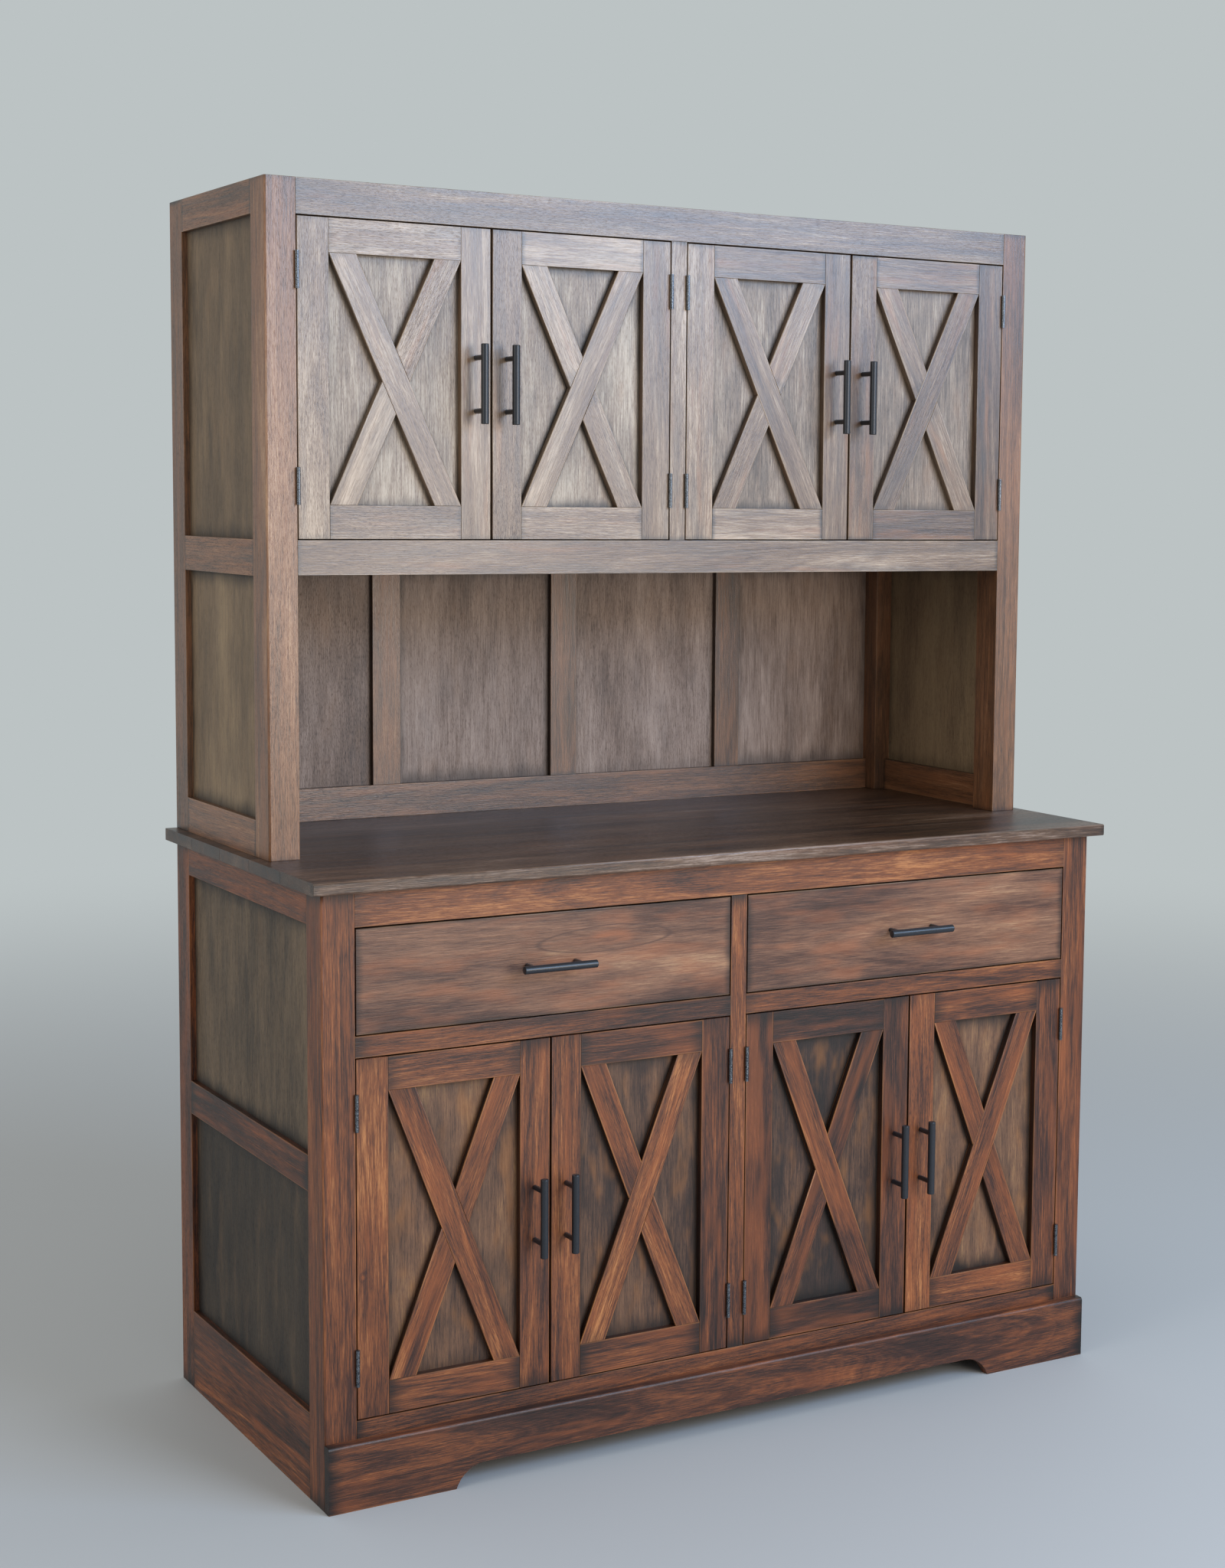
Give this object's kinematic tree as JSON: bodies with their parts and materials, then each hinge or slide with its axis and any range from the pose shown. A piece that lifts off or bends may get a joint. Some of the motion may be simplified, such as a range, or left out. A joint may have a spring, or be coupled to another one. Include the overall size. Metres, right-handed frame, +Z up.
{
  "type": "cabinet",
  "caption": "Tall wooden cabinet: a base with drawers over doors and a worktop, and a hutch with an open niche under doors, all doors with crossed bars.",
  "frame": {"origin": "on the floor, under the middle of the whole outline in X and Y", "axes": "+Z up, the front with its doors and drawers faces -Y, +X to the right seen from the front"},
  "size_m": [1.41, 0.668, 1.914],
  "materials": {
    "frame_wood": "brown stained hardwood, satin lacquer, with dark glaze in the joints",
    "worktop_wood": "dark brown stained hardwood, satin lacquer",
    "panel_plywood": "olive brown stained plywood, satin lacquer",
    "inside_wood": "plain brown stained wood, thin matt lacquer",
    "black_steel": "satin black powder coat",
    "blued_steel": "bright zinc-plated steel"
  },
  "bodies": {
    "case": {"back_panels": "panel_plywood", "base_back_frame": "frame_wood", "base_floor": "inside_wood", "base_front_frame": "frame_wood", "base_left_side": "frame_wood", "base_right_side": "frame_wood", "case_hinge_leaves": "blued_steel", "cupboard_floor": "inside_wood", "door_stops": "inside_wood", "drawer_runners": "inside_wood", "hinge_pins": "blued_steel", "hutch_back_frame": "frame_wood", "hutch_front_frame": "frame_wood", "hutch_left_side": "frame_wood", "hutch_right_side": "frame_wood", "partitions": "inside_wood", "plinth": "frame_wood", "shelf_cleats": "inside_wood", "shelves": "inside_wood", "side_panels": "panel_plywood", "top_board": "inside_wood", "worktop": "worktop_wood"},
    "upper_door_1": {"upper_door_1_frame": "frame_wood", "upper_door_1_panel": "panel_plywood", "upper_door_1_pull": "black_steel", "upper_door_1_hinge_leaves": "blued_steel"},
    "upper_door_2": {"upper_door_2_frame": "frame_wood", "upper_door_2_panel": "panel_plywood", "upper_door_2_pull": "black_steel", "upper_door_2_hinge_leaves": "blued_steel"},
    "upper_door_3": {"upper_door_3_frame": "frame_wood", "upper_door_3_panel": "panel_plywood", "upper_door_3_pull": "black_steel", "upper_door_3_hinge_leaves": "blued_steel"},
    "upper_door_4": {"upper_door_4_frame": "frame_wood", "upper_door_4_panel": "panel_plywood", "upper_door_4_pull": "black_steel", "upper_door_4_hinge_leaves": "blued_steel"},
    "lower_door_1": {"lower_door_1_frame": "frame_wood", "lower_door_1_panel": "panel_plywood", "lower_door_1_pull": "black_steel", "lower_door_1_hinge_leaves": "blued_steel"},
    "lower_door_2": {"lower_door_2_frame": "frame_wood", "lower_door_2_panel": "panel_plywood", "lower_door_2_pull": "black_steel", "lower_door_2_hinge_leaves": "blued_steel"},
    "lower_door_3": {"lower_door_3_frame": "frame_wood", "lower_door_3_panel": "panel_plywood", "lower_door_3_pull": "black_steel", "lower_door_3_hinge_leaves": "blued_steel"},
    "lower_door_4": {"lower_door_4_frame": "frame_wood", "lower_door_4_panel": "panel_plywood", "lower_door_4_pull": "black_steel", "lower_door_4_hinge_leaves": "blued_steel"},
    "left_drawer": {"left_drawer_front": "frame_wood", "left_drawer_box": "inside_wood", "left_drawer_pull": "black_steel"},
    "right_drawer": {"right_drawer_front": "frame_wood", "right_drawer_box": "inside_wood", "right_drawer_pull": "black_steel"}
  },
  "joints": [
    {"name": "upper_door_1_hinge", "type": "hinge", "parent": "case", "child": "upper_door_1", "pos_m": [-0.63775, -0.0943, 1.626], "axis": [0, 0, -1], "range_deg": [0, 170]},
    {"name": "upper_door_2_hinge", "type": "hinge", "parent": "case", "child": "upper_door_2", "pos_m": [-0.01475, -0.0943, 1.626], "axis": [0, 0, 1], "range_deg": [0, 85]},
    {"name": "upper_door_3_hinge", "type": "hinge", "parent": "case", "child": "upper_door_3", "pos_m": [0.01475, -0.0943, 1.626], "axis": [0, 0, -1], "range_deg": [0, 85]},
    {"name": "upper_door_4_hinge", "type": "hinge", "parent": "case", "child": "upper_door_4", "pos_m": [0.63775, -0.0943, 1.626], "axis": [0, 0, 1], "range_deg": [0, 170]},
    {"name": "lower_door_1_hinge", "type": "hinge", "parent": "case", "child": "lower_door_1", "pos_m": [-0.63525, -0.2993, 0.393], "axis": [0, 0, -1], "range_deg": [0, 170]},
    {"name": "lower_door_2_hinge", "type": "hinge", "parent": "case", "child": "lower_door_2", "pos_m": [-0.01475, -0.2993, 0.393], "axis": [0, 0, 1], "range_deg": [0, 85]},
    {"name": "lower_door_3_hinge", "type": "hinge", "parent": "case", "child": "lower_door_3", "pos_m": [0.01475, -0.2993, 0.393], "axis": [0, 0, -1], "range_deg": [0, 85]},
    {"name": "lower_door_4_hinge", "type": "hinge", "parent": "case", "child": "lower_door_4", "pos_m": [0.63525, -0.2993, 0.393], "axis": [0, 0, 1], "range_deg": [0, 170]},
    {"name": "left_drawer_slide", "type": "slide", "parent": "case", "child": "left_drawer", "axis": [0, -1, 0], "range_m": [0, 0.38]},
    {"name": "right_drawer_slide", "type": "slide", "parent": "case", "child": "right_drawer", "axis": [0, -1, 0], "range_m": [0, 0.38]}
  ]
}
